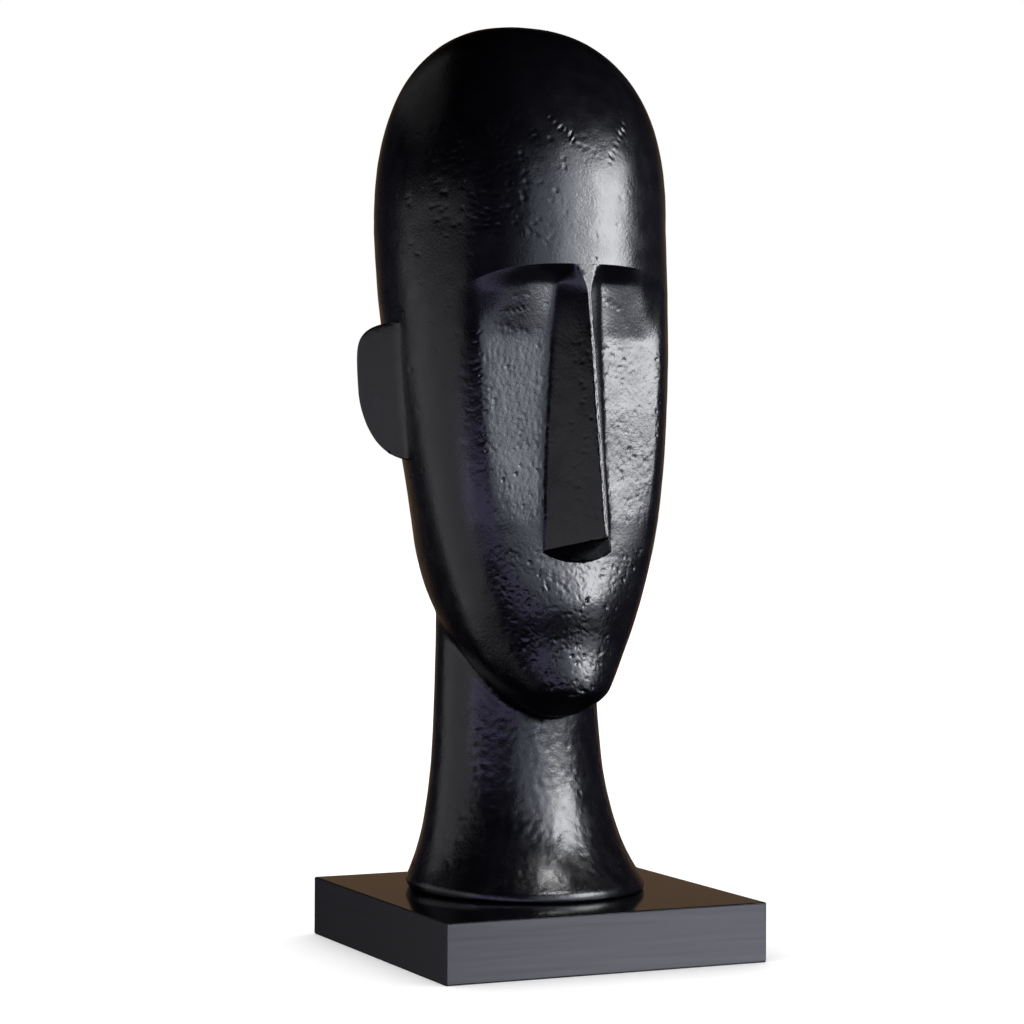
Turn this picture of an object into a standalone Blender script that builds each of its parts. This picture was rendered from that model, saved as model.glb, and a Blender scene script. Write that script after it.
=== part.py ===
"""Abstract head on a square plinth, about 19 inches tall, a table ornament.

The head, its ears, the neck and the flared foot are one casting, and the plinth
is a block under it. Units are metres, +Z is up and the face looks along -Y. The
origin is the middle of the plinth's underside.
"""

import bpy
import bmesh
from math import acos, atan2, cos, exp, pi, sin

# Plinth
PLINTH_SIDE = 0.180
PLINTH_HEIGHT = 0.031
PLINTH_EDGE = 0.0007
SEAT_GAP = 0.0003

# Heights of the casting, each measured up from the top of the plinth
CROWN_RISE = 0.4586
WIDEST_RISE = 0.3485
BROW_RISE = 0.3270
NOSE_TIP_RISE = 0.1880
NOSE_BASE_RISE = 0.1810
CHIN_EDGE_RISE = 0.1085
HEAD_LOW_RISE = 0.0932

# The egg form of the head, with reaches along Y from the plinth's middle
HEAD_HALF_WIDTH = 0.0745
FACE_REACH = 0.0601
NAPE_REACH = 0.0878
NAPE_DRAW_IN = 0.0092
CROWN_SET_BACK = 0.0405
LOW_END_REACH = 0.0250

# How full each curve of the egg is, as two powers, and how square its level sections are
CROWN_CURVE = (2.50, 2.24)
JAW_CURVE = (2.33, 2.11)
FACE_CURVE = (3.23, 2.85)
NAPE_CURVE = (6.54, 1.39)
FACE_SQUARENESS = 2.27
NAPE_SQUARENESS = 2.65
SQUARENESS_UNDER_EARS = 2.00
SQUARENESS_OVER_NECK = 2.38
CROWN_BACK_ROUNDNESS = 1.10
WIDEST_SHARE = 0.585
LOW_WIDEST_SHARE = 0.391

# Sunk panels each side of the nose: their outer edge as a share of the half width, their depth
# in the middle of the face, and the soft rim where they run out into the round of the head.
# Below the nose they fade into the jaw.
PANEL_SHARE = 0.712
PANEL_FLARE = 0.050
PANEL_FLARE_HEIGHT = 0.045
PANEL_RIM = 0.0014
PANEL_DEPTH = 0.0118
PANEL_ROUND = 0.0016
LEDGE_HEIGHT = 0.0105
PANEL_CORNER_DROP = 0.0100
PANEL_FADE_RISE = 0.2400
PANEL_END_RISE = 0.1220

# Closed lids: the top of each panel leans forward under the brow
LID_FORWARD = 0.0077
LID_LOW_RISE = 0.2900
LID_BEND = 0.12
LID_INNER = (0.0060, 0.0260)
LID_INNER_SHARE = 0.50
LID_OUTER = (0.0360, 0.0610)

# Nose
NOSE_REACH = 0.0840
NOSE_ROOT_HALF_WIDTH = 0.0110
NOSE_HALF_WIDTH = 0.0192
RIDGE_HALF_WIDTH = 0.0009
RIDGE_FLARE = 0.0042
RIDGE_FLARE_HEIGHT = 0.0160
UNDER_NOSE_SAG = 0.0050
UNDER_NOSE_STEP = 0.0012

# Mouth and chin
MOUTH_RISE = 0.1520
MOUTH_SWELL = 0.0043
MOUTH_HEIGHT = 0.0160
MOUTH_HALF_WIDTH = 0.0240
CHIN_RISE = 0.1030
CHIN_SWELL = 0.0135
CHIN_HEIGHT = 0.0235
CHIN_HALF_WIDTH = 0.0300

# Ears: a flap each side that is swept back and a little dished
EAR_MIDDLE_RISE = 0.2627
EAR_HALF_HEIGHT = 0.0366
EAR_ROOT_DEPTH = 0.0085
EAR_ROOT_Y = 0.0020
EAR_STAND_OUT = 0.0139
EAR_TIP_Y = 0.0380
EAR_HALF_THICKNESS = 0.0034
EAR_DISH = 0.0024
EAR_TOP_CURVE = (6.0, 3.2)
EAR_LOW_CURVE = (1.8, 3.4)

# Neck and foot, turned and then made oval
NECK_RADIUS = 0.0425
NECK_DEPTH_SHARE = 0.93
NECK_TOP_RISE = 0.1650
FOOT_RADIUS = 0.0630
FOOT_DEPTH_SHARE = 1.05
FOOT_LIP = 0.0045
FOOT_UNDERCUT = 0.0020
FLARE_HEIGHT = 0.0360
NECK_SET_BACK = 0.0262
FOOT_SET_BACK = 0.0105
LEAN_HEIGHT = 0.0400

# Facets
FRONT_COLUMNS = (1, 5, 7, 1)
SIDE_COLUMNS = 7
NAPE_COLUMNS = 9
HEAD_ROWS = (13, 4, 14, 2, 12, 4)
EAR_COLUMNS = 16
EAR_ROWS = 12
NECK_COLUMNS = 48
NECK_ROWS = 12
LIP_ROWS = 3

# Looks
CAST_COLOUR = (0.012, 0.012, 0.015)
CAST_ROUGHNESS = 0.42
PLINTH_COLOUR = (0.010, 0.010, 0.012)
PLINTH_ROUGHNESS = 0.30

COLLECTION_NAME = "abstract head sculpture"


def clear_scene():
    for item in list(bpy.data.objects):
        bpy.data.objects.remove(item, do_unlink=True)


def add_collection(name):
    group = bpy.data.collections.new(name)
    bpy.context.scene.collection.children.link(group)
    return group


def add_material(name, colour, roughness):
    material = bpy.data.materials.new(name)
    material.use_nodes = True
    shader = material.node_tree.nodes["Principled BSDF"]
    shader.inputs["Base Color"].default_value = (*colour, 1.0)
    shader.inputs["Roughness"].default_value = roughness
    shader.inputs["Metallic"].default_value = 0.0
    return material


def add_object(name, bm, group):
    mesh = bpy.data.meshes.new(name)
    bm.to_mesh(mesh)
    bm.free()
    item = bpy.data.objects.new(name, mesh)
    group.objects.link(item)
    return item


def level(rise):
    """Height in the scene of a level that is measured up from the plinth's top."""
    return PLINTH_HEIGHT + rise


def mix(a, b, t):
    return a + (b - a) * t


def clamp(t):
    return min(max(t, 0.0), 1.0)


def smooth(t):
    t = clamp(t)
    return t * t * (3.0 - 2.0 * t)


def bell(distance, reach):
    return exp(-(distance / reach) ** 2)


def quarter(t, curve):
    """A quarter curve that falls from 1 at t = 0 to 0 at t = 1."""
    return (1.0 - clamp(t) ** curve[0]) ** (1.0 / curve[1])


def egg_section(z):
    """Half width, front, back, widest place and nape squareness of the egg form at height z."""
    widest = level(WIDEST_RISE)
    if z >= widest:
        size = quarter((z - widest) / (level(CROWN_RISE) - widest), CROWN_CURVE)
        half = HEAD_HALF_WIDTH * size
        front = mix(CROWN_SET_BACK, -FACE_REACH, size)
        back = mix(CROWN_SET_BACK, NAPE_REACH, size ** CROWN_BACK_ROUNDNESS)
        down = 0.0
    else:
        down = (widest - z) / (widest - level(HEAD_LOW_RISE))
        half = HEAD_HALF_WIDTH * quarter(down, JAW_CURVE)
        front = mix(-LOW_END_REACH, -FACE_REACH, quarter(down, FACE_CURVE))
        back = mix(-LOW_END_REACH, NAPE_REACH - NAPE_DRAW_IN * down, quarter(down, NAPE_CURVE))
    middle = mix(front, back, mix(WIDEST_SHARE, LOW_WIDEST_SHARE, clamp(down / 0.6)))
    square = mix(NAPE_SQUARENESS, SQUARENESS_UNDER_EARS, smooth(down * 2.0))
    square += (SQUARENESS_OVER_NECK - SQUARENESS_UNDER_EARS) * smooth(down * 4.0 - 2.0)
    return half, front, back, middle, square


def panel_edge(z):
    """How far out from the middle line the sunk panel reaches at height z."""
    flare = smooth((z - level(BROW_RISE)) / PANEL_FLARE_HEIGHT + 1.0)
    return egg_section(z)[0] * (PANEL_SHARE + PANEL_FLARE * flare)


def nose_widths(z):
    """Half widths of the nose at its ridge and at its base at height z."""
    down = level(BROW_RISE) - z
    ridge = RIDGE_HALF_WIDTH + RIDGE_FLARE * smooth(1.0 - down / RIDGE_FLARE_HEIGHT)
    length = BROW_RISE - NOSE_BASE_RISE
    return ridge, mix(NOSE_ROOT_HALF_WIDTH, NOSE_HALF_WIDTH, clamp(down / length) ** 0.8)


def ridge_y(z):
    """The ridge of the nose is a straight line from the brow to the tip."""
    down = (level(BROW_RISE) - z) / (BROW_RISE - NOSE_TIP_RISE)
    return -mix(FACE_REACH, NOSE_REACH, clamp(down))


def swell(x, z):
    """How far the mouth and the chin stand forward of the egg form."""
    mouth = MOUTH_SWELL * bell(z - level(MOUTH_RISE), MOUTH_HEIGHT) * bell(x, MOUTH_HALF_WIDTH)
    chin = CHIN_SWELL * bell(z - level(CHIN_RISE), CHIN_HEIGHT) * bell(x, CHIN_HALF_WIDTH)
    return mouth + chin * smooth((z - level(HEAD_LOW_RISE)) / (CHIN_EDGE_RISE - HEAD_LOW_RISE))


def egg_front(x, z):
    """The front of the plain egg form."""
    half, front, back, middle, square = egg_section(z)
    depth = quarter(abs(x) / half, (FACE_SQUARENESS, FACE_SQUARENESS)) if half > 0 else 0.0
    return mix(middle, front, depth)


def softly_above_zero(value, bend):
    """The value where it is above zero and zero where it is below, with a soft bend between."""
    return (value + (value ** 2 + bend ** 2) ** 0.5) / 2


def lid_forward(x, z):
    """How far the closed lid leans forward at the top of the panel."""
    top = level(BROW_RISE - LEDGE_HEIGHT)
    up = min((z - level(LID_LOW_RISE)) / (top - level(LID_LOW_RISE)), 1.3)
    inner = smooth((x - LID_INNER[0]) / (LID_INNER[1] - LID_INNER[0]))
    outer = smooth((LID_OUTER[1] - x) / (LID_OUTER[1] - LID_OUTER[0]))
    return LID_FORWARD * softly_above_zero(up, LID_BEND) * mix(LID_INNER_SHARE, 1.0, inner) * outer


def face_y(x, z, sill):
    """The face without its nose. The sill runs from 0 at the brow to 1 under its ledge."""
    x = abs(x)
    round_front = egg_front(x, z)
    edge = panel_edge(z)
    if edge <= 0:
        return round_front - swell(x, z)
    flat = mix(egg_front(0.0, z) + PANEL_DEPTH, egg_front(edge, z), x / edge) - round_front
    sunk = softly_above_zero(flat - lid_forward(x, z), PANEL_ROUND)
    sunk *= smooth((z - level(PANEL_END_RISE)) / (PANEL_FADE_RISE - PANEL_END_RISE))
    return round_front + sunk * sill - swell(x, z)


def nose_y(x, z, sill):
    """The nose: a flat ridge with a flat plane each side down to the panel."""
    ridge, base = nose_widths(z)
    across = clamp((abs(x) - ridge) / (base - ridge))
    return mix(ridge_y(z), face_y(base, z, sill), across)


def row_marks():
    """Crown, brow, under its ledge, lower edge of the nose, lip, chin edge and low end."""
    marks = [CROWN_RISE, BROW_RISE, BROW_RISE - LEDGE_HEIGHT, NOSE_TIP_RISE, NOSE_BASE_RISE]
    return [level(mark) for mark in marks + [CHIN_EDGE_RISE, HEAD_LOW_RISE]]


def row_place(row):
    """Which band between two marks a row is in, and how far down that band it is."""
    band = 0
    while row > HEAD_ROWS[band]:
        row -= HEAD_ROWS[band]
        band += 1
    return band, row / HEAD_ROWS[band]


def row_height(band, t):
    """Rows close up towards the crown and towards the low end."""
    if band == 0:
        t = 1.0 - cos(t * pi / 2)
    if band == len(HEAD_ROWS) - 1:
        t = sin(t * pi / 2)
    marks = row_marks()
    return mix(marks[band], marks[band + 1], t)


def front_share(column, z):
    """Place of a front column across the half width, following the nose and the panel's rim."""
    z = min(max(z, level(NOSE_BASE_RISE)), level(BROW_RISE))
    edge = panel_edge(z)
    marks = [0.0, *nose_widths(z), edge, edge + PANEL_RIM]
    for count, near, far in zip(FRONT_COLUMNS, marks[:-1], marks[1:]):
        if column <= count:
            return mix(near, far, column / count) / egg_section(z)[0]
        column -= count


def head_point(column, row):
    """A vertex of the head, with its column counted from the middle of the face to the nape."""
    last = sum(FRONT_COLUMNS)
    aside = clamp((column - last) / SIDE_COLUMNS)
    across = clamp((column - FRONT_COLUMNS[0]) / FRONT_COLUMNS[1])
    corner = PANEL_CORNER_DROP * clamp(column / sum(FRONT_COLUMNS[:3])) ** 5 * (1.0 - aside)
    tip = mix(level(NOSE_TIP_RISE), level(NOSE_BASE_RISE), across * (1.0 - aside))
    sag = UNDER_NOSE_STEP + UNDER_NOSE_SAG * (1.0 - across * across)
    lip = level(NOSE_BASE_RISE) - sag * (1.0 - aside)
    band, t = row_place(row)
    z = row_height(band, t)
    sill = sin(t * pi / 2) if band == 1 else float(band > 1)
    if band == 0:
        z -= corner * t ** 4
    elif band == 1:
        z -= corner
    elif band == 2:
        z -= corner * (1.0 - smooth(t * 2.0)) + (level(NOSE_TIP_RISE) - tip) * t ** 3
    elif band == 3:
        z = mix(tip, lip, t)
    elif band == 4:
        z -= (level(NOSE_BASE_RISE) - lip) * (1.0 - t) ** 2
    half, front, back, middle, square = egg_section(z)
    if column > last + SIDE_COLUMNS:
        angle = (column - last - SIDE_COLUMNS) / NAPE_COLUMNS * pi / 2
        x = half * max(cos(angle), 0.0) ** (2 / square)
        return x, mix(middle, back, sin(angle) ** (2 / square)), z
    if column > last:
        start = acos(front_share(last, z) ** (FACE_SQUARENESS / 2))
        angle = start * (1.0 - aside)
        x = half * cos(angle) ** (2 / FACE_SQUARENESS)
        y = mix(middle, front, sin(angle) ** (2 / FACE_SQUARENESS))
        return x, mix(face_y(x, z, sill), y, smooth(aside)), z
    x = front_share(column, z) * half
    y = face_y(x, z, sill)
    if across < 1.0 and band in (1, 2):
        y = min(y, nose_y(x, z, sill))
    if across < 1.0 and band == 3:
        x = front_share(column, tip) * egg_section(tip)[0]
        y = mix(nose_y(x, tip, 1.0), face_y(x, lip, 1.0), t)
    return x, y, z


def build_head_form():
    """The egg of the head with its face: a sphere whose rows and columns follow the features."""
    quarter_columns = sum(FRONT_COLUMNS) + SIDE_COLUMNS + NAPE_COLUMNS
    rows = sum(HEAD_ROWS)
    bm = bmesh.new()
    bmesh.ops.create_uvsphere(bm, u_segments=2 * quarter_columns, v_segments=rows, radius=1.0)
    for vert in bm.verts:
        x, y, z = vert.co
        row = round(acos(max(-1.0, min(1.0, z))) / pi * rows)
        turn = round(abs(atan2(x, -y)) / pi * quarter_columns)
        out, along, up = head_point(turn, row)
        vert.co = (out if x >= 0 else -out, along, up)
    return bm


def build_neck_form():
    """The neck and foot: a turned profile, then made oval and leaned back."""
    foot = level(SEAT_GAP)
    points = [(0.0, level(NECK_TOP_RISE))]
    for row in range(NECK_ROWS + 1):
        z = mix(level(NECK_TOP_RISE), foot + FOOT_LIP, (row / NECK_ROWS) ** 0.8)
        flare = (FOOT_RADIUS - NECK_RADIUS) * exp((foot + FOOT_LIP - z) / FLARE_HEIGHT)
        points.append((NECK_RADIUS + flare, z))
    for row in range(1, LIP_ROWS + 1):
        turn = row / LIP_ROWS * pi / 2
        points.append((FOOT_RADIUS - FOOT_UNDERCUT * (1.0 - cos(turn)), foot + FOOT_LIP * (1.0 - sin(turn))))
    points.append((0.0, foot))
    bm = bmesh.new()
    verts = [bm.verts.new((radius, 0.0, z)) for radius, z in points]
    for near, far in zip(verts[:-1], verts[1:]):
        bm.edges.new((near, far))
    return bm


def turn_profile(item):
    screw = item.modifiers.new("turned", "SCREW")
    screw.axis = "Z"
    screw.angle = 2 * pi
    screw.steps = NECK_COLUMNS
    screw.render_steps = NECK_COLUMNS
    screw.use_merge_vertices = True
    screw.merge_threshold = 0.00001
    screw.use_normal_calculate = True


def apply_modifiers(item):
    graph = bpy.context.evaluated_depsgraph_get()
    mesh = bpy.data.meshes.new_from_object(item.evaluated_get(graph))
    item.modifiers.clear()
    item.data = mesh


def make_neck_oval(item):
    foot = level(SEAT_GAP)
    for vert in item.data.vertices:
        up = 1.0 - exp((foot - vert.co.z) / LEAN_HEIGHT)
        share = mix(FOOT_DEPTH_SHARE, NECK_DEPTH_SHARE, up)
        vert.co.y = vert.co.y * share + mix(FOOT_SET_BACK, NECK_SET_BACK, up)


def build_ear_form(side):
    """One ear: a flattened ball on the side of the egg, tapered below and dished outside."""
    bm = bmesh.new()
    bmesh.ops.create_uvsphere(bm, u_segments=EAR_COLUMNS, v_segments=EAR_ROWS, radius=1.0)
    for vert in bm.verts:
        thick, reach, up = vert.co
        width = max(1.0 - up * up, 1e-9) ** 0.5
        out = clamp(0.5 + 0.5 * reach / width)
        along = out * quarter(abs(up), EAR_TOP_CURVE if up > 0 else EAR_LOW_CURVE)
        dish = EAR_DISH * 4.0 * out * (1.0 - out) * (1.0 - up * up)
        offset = EAR_HALF_THICKNESS * thick - dish
        z = level(EAR_MIDDLE_RISE) + EAR_HALF_HEIGHT * up
        x = egg_section(z)[0] + mix(-EAR_ROOT_DEPTH, EAR_STAND_OUT, along)
        vert.co = (side * (x + offset), mix(EAR_ROOT_Y, EAR_TIP_Y, along), z)
    if side < 0:
        bmesh.ops.reverse_faces(bm, faces=bm.faces)
    return bm


def join(target, cutter):
    """Cast the other form into the target, as one closed skin."""
    union = target.modifiers.new("cast with " + cutter.name, "BOOLEAN")
    union.operation = "UNION"
    union.solver = "EXACT"
    union.object = cutter
    cutter.hide_render = True
    cutter.display_type = "WIRE"


def build_head(group, forms, material):
    head = add_object("head", build_head_form(), group)
    neck = add_object("neck form", build_neck_form(), forms)
    turn_profile(neck)
    bpy.context.view_layer.update()
    apply_modifiers(neck)
    make_neck_oval(neck)
    join(head, neck)
    for side, name in ((-1, "right ear form"), (1, "left ear form")):
        join(head, add_object(name, build_ear_form(side), forms))
    head.data.materials.append(material)
    for face in head.data.polygons:
        face.use_smooth = True
    return head


def build_plinth(group, material):
    bm = bmesh.new()
    bmesh.ops.create_cube(bm, size=1.0)
    for vert in bm.verts:
        vert.co.x *= PLINTH_SIDE
        vert.co.y *= PLINTH_SIDE
        vert.co.z = (vert.co.z + 0.5) * PLINTH_HEIGHT
    plinth = add_object("plinth", bm, group)
    bevel = plinth.modifiers.new("eased edges", "BEVEL")
    bevel.width = PLINTH_EDGE
    bevel.segments = 1
    plinth.data.materials.append(material)
    return plinth


def main():
    clear_scene()
    group = add_collection(COLLECTION_NAME)
    forms = add_collection("forms cast into the head")
    build_plinth(group, add_material("black lacquered plinth", PLINTH_COLOUR, PLINTH_ROUGHNESS))
    build_head(group, forms, add_material("satin black casting", CAST_COLOUR, CAST_ROUGHNESS))


main()
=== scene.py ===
"""Looks of the abstract head sculpture: a satin black casting on a lacquered plinth.

The face looks along -Y and +Z is up. Sizes are in metres.
"""

import random
from math import cos, pi, radians, sin

import bmesh
import bpy
import numpy as np
from mathutils import Matrix, Vector, noise
from mathutils.kdtree import KDTree


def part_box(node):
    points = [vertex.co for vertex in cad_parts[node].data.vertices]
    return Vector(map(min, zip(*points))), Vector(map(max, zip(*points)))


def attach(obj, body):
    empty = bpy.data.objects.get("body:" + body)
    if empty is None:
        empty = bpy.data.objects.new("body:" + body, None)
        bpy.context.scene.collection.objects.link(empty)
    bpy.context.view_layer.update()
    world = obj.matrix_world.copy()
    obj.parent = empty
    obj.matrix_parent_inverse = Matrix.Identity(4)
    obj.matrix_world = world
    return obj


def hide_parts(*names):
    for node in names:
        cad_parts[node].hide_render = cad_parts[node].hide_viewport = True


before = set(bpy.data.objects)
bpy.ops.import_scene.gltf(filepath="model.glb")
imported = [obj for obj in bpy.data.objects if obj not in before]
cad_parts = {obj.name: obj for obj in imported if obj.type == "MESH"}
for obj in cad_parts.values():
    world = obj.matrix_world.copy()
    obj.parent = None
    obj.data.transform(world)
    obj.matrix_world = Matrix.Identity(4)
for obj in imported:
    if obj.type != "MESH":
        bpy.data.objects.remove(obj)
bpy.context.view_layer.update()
scene = bpy.context.scene


# Head, ears, neck and foot: one hollow casting in black resin. The model for its mould was
# shaped by hand, so its skin is covered in small tool dents, and the casting is painted
# satin black. It is drawn as a fine skin that stands for the CAD node.

plinth_low, plinth_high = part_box("plinth")
head_low, head_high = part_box("head")
SEAT = plinth_high.z

CROWN_Z = head_high.z
WIDEST_Z = SEAT + 0.3485
BROW_Z = SEAT + 0.3270
LEDGE_HEIGHT = 0.0105
NOSE_TIP_Z = SEAT + 0.1880
NOSE_BASE_Z = SEAT + 0.1810
CHIN_EDGE_Z = SEAT + 0.1085
HEAD_LOW_Z = SEAT + 0.0932

HEAD_HALF_WIDTH = 0.0745
FACE_REACH = 0.0601
NAPE_REACH = 0.0878
NAPE_DRAW_IN = 0.0092
CROWN_SET_BACK = 0.0405
LOW_END_REACH = 0.0250

# Powers of the egg's quarter curves and level sections: a higher one makes a fuller form
CROWN_CURVE = (2.50, 2.24)
JAW_CURVE = (2.33, 2.11)
FACE_CURVE = (3.23, 2.85)
NAPE_CURVE = (6.54, 1.39)
CROWN_BACK_ROUNDNESS = 1.10
FACE_SQUARENESS = 2.27
NAPE_SQUARENESS = 2.65
SQUARENESS_UNDER_EARS = 2.00
SQUARENESS_OVER_NECK = 2.38
# Shares of the way down from the widest level at which the lower form is reached
UNDER_EARS = 0.50
OVER_NECK = 0.75
LOW_FORM = 0.60
# Shares of the way back from the face at which a section is widest
WIDEST_SHARE = 0.585
LOW_WIDEST_SHARE = 0.391

# The sunk panels under the brow, one on each side of the nose
PANEL_SHARE = 0.712
PANEL_FLARE = 0.050
PANEL_FLARE_HEIGHT = 0.045
PANEL_RIM = 0.0014
PANEL_DEPTH = 0.0118
PANEL_ROUND = 0.0016
PANEL_CORNER_DROP = 0.0100
PANEL_CORNER_POWER = 5
PANEL_FADE_Z = SEAT + 0.2400
PANEL_END_Z = SEAT + 0.1220

# The closed lids swell forward at the top of the panels
LID_FORWARD = 0.0077
LID_LOW_Z = SEAT + 0.2900
LID_BEND = 0.12
LID_MOST = 1.3
LID_INNER = (0.0090, 0.0310)
LID_INNER_SHARE = 0.42
LID_OUTER = (0.0360, 0.0610)

NOSE_REACH = 0.0840
NOSE_ROOT_HALF_WIDTH = 0.0110
NOSE_HALF_WIDTH = 0.0192
NOSE_WIDENING = 0.8
NOSE_FILLET = 0.0024
NOSE_FILLET_HEIGHT = 0.0200
RIDGE_HALF_WIDTH = 0.0009
RIDGE_FLARE = 0.0042
RIDGE_FLARE_HEIGHT = 0.0160
UNDER_NOSE_SAG = 0.0050
UNDER_NOSE_STEP = 0.0012

MOUTH_Z = SEAT + 0.1520
MOUTH_SWELL = 0.0043
MOUTH_HEIGHT = 0.0160
MOUTH_HALF_WIDTH = 0.0240
CHIN_Z = SEAT + 0.1030
CHIN_SWELL = 0.0135
CHIN_HEIGHT = 0.0235
CHIN_HALF_WIDTH = 0.0300

# Columns of the skin from the middle of the face to the middle of the nape: along the ridge
# of the nose, down its side, over the panel, over the panel's rim, round the side, the nape
FRONT_COLUMNS = (3, 24, 44, 4)
NOSE_SIDE = 1
SIDE_COLUMNS = 34
NAPE_COLUMNS = 36
# Rows of the skin in each band from the crown down
HEAD_ROWS = (200, 16, 220, 14, 110, 30)
CROWN, LEDGE, PANELS, UNDER_NOSE, LOWER_FACE, UNDER_CHIN = range(len(HEAD_ROWS))
# Columns and rows crowd towards the ridge of the nose and the edge of the brow
CROWDING = 1.5
CROWN_ROW_EASE = 0.7
TINY = 1e-9


def mix(a, b, t):
    return a + (b - a) * t


def smooth(t):
    t = np.clip(t, 0.0, 1.0)
    return t * t * (3.0 - 2.0 * t)


def bell(distance, reach):
    return np.exp(-(distance / reach) ** 2)


def quarter(t, curve):
    """A quarter curve that falls from 1 at t = 0 to 0 at t = 1."""
    return (1.0 - np.clip(t, 0.0, 1.0) ** curve[0]) ** (1.0 / curve[1])


def egg_section(z):
    """Half width, front, back, widest place and nape squareness of the egg form at height z."""
    up = np.clip((z - WIDEST_Z) / (CROWN_Z - WIDEST_Z), 0.0, 1.0)
    down = np.clip((WIDEST_Z - z) / (WIDEST_Z - HEAD_LOW_Z), 0.0, 1.0)
    above = z >= WIDEST_Z
    size = quarter(up, CROWN_CURVE)
    half = HEAD_HALF_WIDTH * np.where(above, size, quarter(down, JAW_CURVE))
    crown_back = mix(CROWN_SET_BACK, NAPE_REACH, size ** CROWN_BACK_ROUNDNESS)
    nape = mix(-LOW_END_REACH, NAPE_REACH - NAPE_DRAW_IN * down, quarter(down, NAPE_CURVE))
    face = mix(-LOW_END_REACH, -FACE_REACH, quarter(down, FACE_CURVE))
    front = np.where(above, mix(CROWN_SET_BACK, -FACE_REACH, size), face)
    back = np.where(above, crown_back, nape)
    share = mix(WIDEST_SHARE, LOW_WIDEST_SHARE, np.clip(down / LOW_FORM, 0.0, 1.0))
    square = mix(NAPE_SQUARENESS, SQUARENESS_UNDER_EARS, smooth(down / UNDER_EARS))
    fuller = smooth((down - UNDER_EARS) / (OVER_NECK - UNDER_EARS))
    square = square + (SQUARENESS_OVER_NECK - SQUARENESS_UNDER_EARS) * fuller
    return half, front, back, mix(front, back, share), square


def panel_edge(z):
    """How far out from the middle line the sunk panel reaches at height z."""
    flare = smooth((z - BROW_Z) / PANEL_FLARE_HEIGHT + 1.0)
    return egg_section(z)[0] * (PANEL_SHARE + PANEL_FLARE * flare)


def nose_widths(z):
    """Half widths of the nose at its ridge and at its base at height z."""
    down = BROW_Z - z
    ridge = RIDGE_HALF_WIDTH + RIDGE_FLARE * smooth(1.0 - down / RIDGE_FLARE_HEIGHT)
    share = np.clip(down / (BROW_Z - NOSE_BASE_Z), 0.0, 1.0)
    return ridge, mix(NOSE_ROOT_HALF_WIDTH, NOSE_HALF_WIDTH, share ** NOSE_WIDENING)


def ridge_y(z):
    """The ridge of the nose is a straight line from the brow to the tip."""
    return -mix(FACE_REACH, NOSE_REACH, np.clip((BROW_Z - z) / (BROW_Z - NOSE_TIP_Z), 0.0, 1.0))


def swell(x, z):
    """How far the mouth and the chin stand forward of the egg form."""
    mouth = MOUTH_SWELL * bell(z - MOUTH_Z, MOUTH_HEIGHT) * bell(x, MOUTH_HALF_WIDTH)
    chin = CHIN_SWELL * bell(z - CHIN_Z, CHIN_HEIGHT) * bell(x, CHIN_HALF_WIDTH)
    return mouth + chin * smooth((z - HEAD_LOW_Z) / (CHIN_EDGE_Z - HEAD_LOW_Z))


def egg_front(x, z):
    """The front of the plain egg form."""
    half, front, _, middle, _ = egg_section(z)
    depth = quarter(x / np.maximum(half, TINY), (FACE_SQUARENESS, FACE_SQUARENESS))
    return mix(middle, front, depth)


def face_y(x, z, sill):
    """The face without its nose. The sill runs from 0 at the brow to 1 under its ledge."""
    round_front = egg_front(x, z)
    edge = np.maximum(panel_edge(z), TINY)
    up_lid = np.minimum((z - LID_LOW_Z) / (BROW_Z - LEDGE_HEIGHT - LID_LOW_Z), LID_MOST)
    lid = (up_lid + np.sqrt(up_lid ** 2 + LID_BEND ** 2)) / 2
    out_of_corner = smooth((x - LID_INNER[0]) / (LID_INNER[1] - LID_INNER[0]))
    inner = mix(LID_INNER_SHARE, 1.0, out_of_corner)
    outer = smooth((LID_OUTER[1] - x) / (LID_OUTER[1] - LID_OUTER[0]))
    flat = mix(egg_front(0.0, z) + PANEL_DEPTH, egg_front(edge, z), x / edge) - round_front
    flat = flat - LID_FORWARD * lid * inner * outer
    sunk = (flat + np.sqrt(flat ** 2 + PANEL_ROUND ** 2)) / 2
    sunk = sunk * smooth((z - PANEL_END_Z) / (PANEL_FADE_Z - PANEL_END_Z))
    return round_front + sunk * sill - swell(x, z)


def nosed_y(x, z, sill):
    """The face with its nose: a flat ridge, and a flat plane each side with a soft foot."""
    ridge, base = nose_widths(z)
    across = np.clip((x - ridge) / (base - ridge), 0.0, 1.0)
    plane = mix(ridge_y(z), face_y(base, z, sill), across) + np.maximum(x - base, 0.0)
    face = face_y(x, z, sill)
    fillet = NOSE_FILLET * sill * smooth((z - NOSE_BASE_Z) / NOSE_FILLET_HEIGHT)
    return (plane + face - np.sqrt((plane - face) ** 2 + fillet ** 2)) / 2


def front_x(column, z):
    """Place of the face's columns, following the nose and the rim of the panel."""
    low = np.clip(z, NOSE_BASE_Z, BROW_Z)
    edge = panel_edge(low)
    marks = np.stack([np.zeros_like(low), *nose_widths(low), edge, edge + PANEL_RIM])
    ends = np.cumsum((0,) + FRONT_COLUMNS)
    strip = np.clip(np.searchsorted(ends, column, side="right") - 1, 0, len(FRONT_COLUMNS) - 1)
    t = (column - ends[strip]) / np.array(FRONT_COLUMNS)[strip]
    t = t ** np.where(strip == NOSE_SIDE, CROWDING, 1.0)
    near = np.take_along_axis(marks, strip[None], 0)[0]
    far = np.take_along_axis(marks, strip[None] + 1, 0)[0]
    return mix(near, far, t) / egg_section(low)[0] * egg_section(z)[0]


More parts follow.
